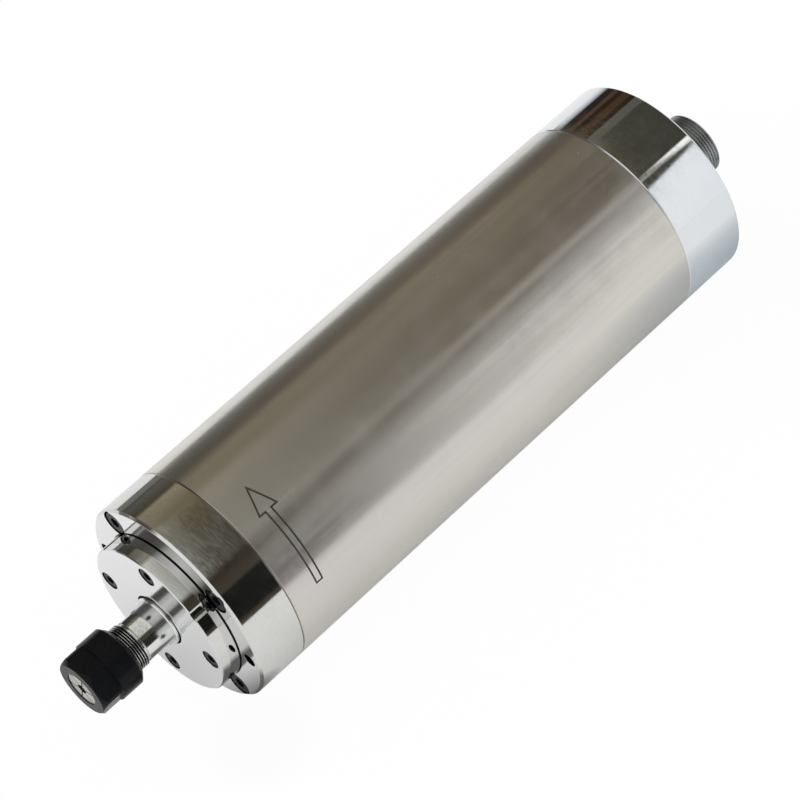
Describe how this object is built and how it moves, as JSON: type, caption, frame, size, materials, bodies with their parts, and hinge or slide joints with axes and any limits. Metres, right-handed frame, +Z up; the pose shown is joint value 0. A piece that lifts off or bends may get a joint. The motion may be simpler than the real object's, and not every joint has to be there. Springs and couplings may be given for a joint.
{
  "type": "motor spindle",
  "caption": "Water-cooled high-speed motor spindle with a steel barrel, bolted nose cap, ground shaft, collet and hex nut, and a round plug receptacle at the rear.",
  "frame": {"origin": "on the spindle's axis at the front face of the body's flange", "axes": "+X along the axis towards the nose, +Z up with the spindle lying on its side, cap screws and jack holes on the Y axis"},
  "size_m": [0.2481, 0.065, 0.065],
  "materials": {
    "ground_steel": "ground satin stainless steel",
    "polished_steel": "polished steel",
    "chrome_cap": "mirror polished",
    "shaft_steel": "ground and hardened steel",
    "black_oxide": "black oxide steel",
    "collet_steel": "ground spring steel",
    "bearing_steel": "ground bearing steel",
    "plated_nickel": "dull nickel plate",
    "aluminium": "machined",
    "lamination": "stacked electrical steel sheets",
    "copper": "varnished copper wire",
    "brass": "machined brass",
    "black_rubber": "matt rubber",
    "phenolic": "phenolic cloth laminate",
    "dark_plastic": "moulded plastic",
    "wedge_board": "slot wedge board",
    "lead_sleeve": "silicone insulation"
  },
  "bodies": {
    "housing": {"front_cap": "polished_steel", "front_cap_screws": "black_oxide", "front_housing": "polished_steel", "flange_screws": "black_oxide", "outer_shell": "ground_steel", "water_jacket": "aluminium", "jacket_o_rings": "black_rubber", "port_o_rings": "black_rubber", "rear_carrier": "aluminium", "preload_spring": "bearing_steel", "rear_cap": "chrome_cap", "rear_cap_screws": "black_oxide", "fitting_washers": "black_rubber", "outlet_fitting": "brass", "inlet_fitting": "brass", "stator_core": "lamination", "stator_winding": "copper", "slot_wedges": "wedge_board", "receptacle_shell": "plated_nickel", "receptacle_gasket": "black_rubber", "receptacle_insulator": "dark_plastic", "receptacle_pins": "brass", "receptacle_nut": "plated_nickel", "phase_leads": "lead_sleeve", "outer_spacer": "shaft_steel", "front_bearing_a_outer_ring": "bearing_steel", "front_bearing_b_outer_ring": "bearing_steel", "rear_bearing_outer_ring": "bearing_steel"},
    "rotor": {"shaft": "shaft_steel", "slinger_ring": "shaft_steel", "front_lock_nut": "black_oxide", "rear_lock_nut": "black_oxide", "rotor_core": "lamination", "rotor_cage": "aluminium", "front_balance_ring": "brass", "rear_balance_ring": "brass", "inner_spacer": "shaft_steel", "front_bearing_a_inner_ring": "bearing_steel", "front_bearing_b_inner_ring": "bearing_steel", "rear_bearing_inner_ring": "bearing_steel"},
    "collet": {"collet": "collet_steel"},
    "nut": {"collet_nut": "black_oxide"},
    "front_balls_a": {"front_bearing_a_balls": "bearing_steel", "front_bearing_a_cage": "phenolic"},
    "front_balls_b": {"front_bearing_b_balls": "bearing_steel", "front_bearing_b_cage": "phenolic"},
    "rear_balls": {"rear_bearing_balls": "bearing_steel", "rear_bearing_cage": "phenolic"}
  },
  "joints": [
    {"name": "spindle_spin", "type": "hinge", "parent": "housing", "child": "rotor", "pos_m": [0, 0, 0], "axis": [1, 0, 0], "continuous": true},
    {"name": "collet_slide", "type": "slide", "parent": "rotor", "child": "collet", "axis": [1, 0, 0], "range_m": [0, 0.006]},
    {"name": "nut_turn", "type": "hinge", "parent": "collet", "child": "nut", "pos_m": [0.028, 0, 0], "axis": [1, 0, 0], "range_deg": [0, 2940]},
    {"name": "front_cage_a_spin", "type": "hinge", "parent": "housing", "child": "front_balls_a", "pos_m": [-0.0065, 0, 0], "axis": [1, 0, 0], "continuous": true},
    {"name": "front_cage_b_spin", "type": "hinge", "parent": "housing", "child": "front_balls_b", "pos_m": [-0.0175, 0, 0], "axis": [1, 0, 0], "continuous": true},
    {"name": "rear_cage_spin", "type": "hinge", "parent": "housing", "child": "rear_balls", "pos_m": [-0.162, 0, 0], "axis": [1, 0, 0], "continuous": true}
  ],
  "couplings": [
    {"joint": "nut_turn", "follows": "collet_slide", "rad_per_m": 8377.6},
    {"joint": "front_cage_a_spin", "follows": "spindle_spin", "ratio": 0.4021},
    {"joint": "front_cage_b_spin", "follows": "spindle_spin", "ratio": 0.4021},
    {"joint": "rear_cage_spin", "follows": "spindle_spin", "ratio": 0.385}
  ]
}
